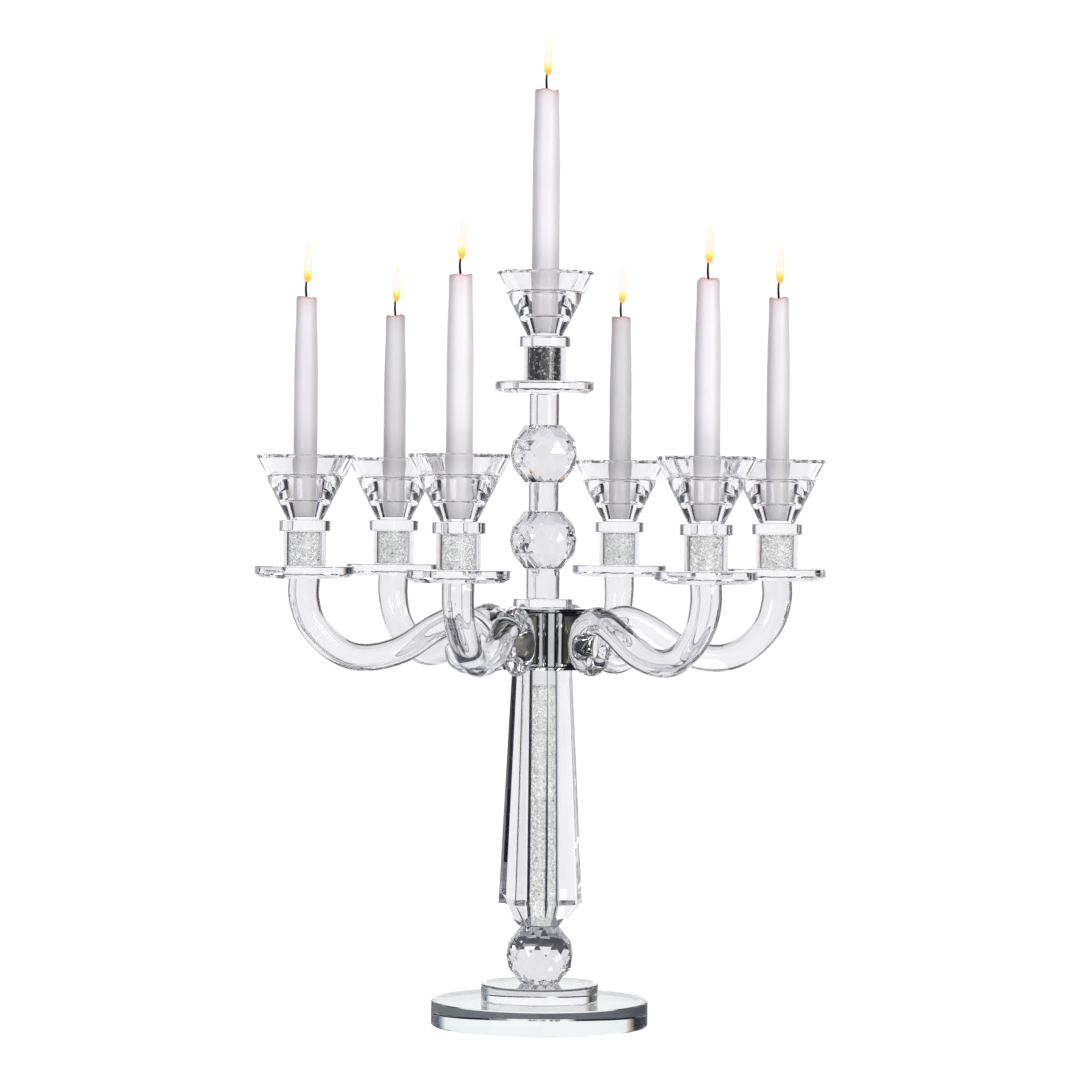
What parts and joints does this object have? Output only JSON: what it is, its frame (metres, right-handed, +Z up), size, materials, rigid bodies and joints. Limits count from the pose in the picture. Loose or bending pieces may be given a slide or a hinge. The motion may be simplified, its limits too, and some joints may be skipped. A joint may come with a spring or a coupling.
{
  "type": "crystal candelabra",
  "caption": "Tall crystal candelabra menorah: faceted column on a round foot, chrome hub, ring of S-shaped glass arms and a raised centre light, each with a taper candle in a conical cup.",
  "frame": {"origin": "middle of the underside of the round foot, on the table", "axes": "+Z up along the column; +X along arm 1, the arms following every 60 degrees anticlockwise seen from above"},
  "size_m": [0.469, 0.4168, 0.7717],
  "materials": {
    "cut_crystal": "polished clear lead crystal with sharp cut facets",
    "rod_glass": "fire-polished clear glass rod",
    "crushed_crystal": "loose crushed crystal chips, sparkling",
    "chrome": "mirror-polished chrome plate",
    "wax": "smooth white candle wax, slightly translucent, faintly pink at the melted top"
  },
  "bodies": {
    "stand": {"base_disc": "cut_crystal", "base_step": "cut_crystal", "base_ball": "cut_crystal", "column": "cut_crystal", "column_chips": "crushed_crystal", "hub": "chrome", "collar_plate": "cut_crystal", "stem_lower": "cut_crystal", "ball_lower": "cut_crystal", "stem_middle": "cut_crystal", "ball_upper": "cut_crystal", "stem_upper": "cut_crystal", "arm_1": "rod_glass", "arm_2": "rod_glass", "arm_3": "rod_glass", "arm_4": "rod_glass", "arm_5": "rod_glass", "arm_6": "rod_glass", "drip_pan_centre": "cut_crystal", "chip_tube_centre": "cut_crystal", "chips_centre": "crushed_crystal", "cup_plate_centre": "cut_crystal", "cup_centre": "cut_crystal", "drip_pan_1": "cut_crystal", "chip_tube_1": "cut_crystal", "chips_1": "crushed_crystal", "cup_plate_1": "cut_crystal", "cup_1": "cut_crystal", "drip_pan_2": "cut_crystal", "chip_tube_2": "cut_crystal", "chips_2": "crushed_crystal", "cup_plate_2": "cut_crystal", "cup_2": "cut_crystal", "drip_pan_3": "cut_crystal", "chip_tube_3": "cut_crystal", "chips_3": "crushed_crystal", "cup_plate_3": "cut_crystal", "cup_3": "cut_crystal", "drip_pan_4": "cut_crystal", "chip_tube_4": "cut_crystal", "chips_4": "crushed_crystal", "cup_plate_4": "cut_crystal", "cup_4": "cut_crystal", "drip_pan_5": "cut_crystal", "chip_tube_5": "cut_crystal", "chips_5": "crushed_crystal", "cup_plate_5": "cut_crystal", "cup_5": "cut_crystal", "drip_pan_6": "cut_crystal", "chip_tube_6": "cut_crystal", "chips_6": "crushed_crystal", "cup_plate_6": "cut_crystal", "cup_6": "cut_crystal"},
    "candle_centre": {"candle_centre": "wax"},
    "candle_1": {"candle_1": "wax"},
    "candle_2": {"candle_2": "wax"},
    "candle_3": {"candle_3": "wax"},
    "candle_4": {"candle_4": "wax"},
    "candle_5": {"candle_5": "wax"},
    "candle_6": {"candle_6": "wax"}
  },
  "joints": [
    {"name": "candle_lift_centre", "type": "slide", "parent": "stand", "child": "candle_centre", "axis": [0, 0, 1], "range_m": [0, 0.06]},
    {"name": "candle_lift_1", "type": "slide", "parent": "stand", "child": "candle_1", "axis": [0, 0, 1], "range_m": [0, 0.06]},
    {"name": "candle_lift_2", "type": "slide", "parent": "stand", "child": "candle_2", "axis": [0, 0, 1], "range_m": [0, 0.06]},
    {"name": "candle_lift_3", "type": "slide", "parent": "stand", "child": "candle_3", "axis": [0, 0, 1], "range_m": [0, 0.06]},
    {"name": "candle_lift_4", "type": "slide", "parent": "stand", "child": "candle_4", "axis": [0, 0, 1], "range_m": [0, 0.06]},
    {"name": "candle_lift_5", "type": "slide", "parent": "stand", "child": "candle_5", "axis": [0, 0, 1], "range_m": [0, 0.06]},
    {"name": "candle_lift_6", "type": "slide", "parent": "stand", "child": "candle_6", "axis": [0, 0, 1], "range_m": [0, 0.06]}
  ]
}
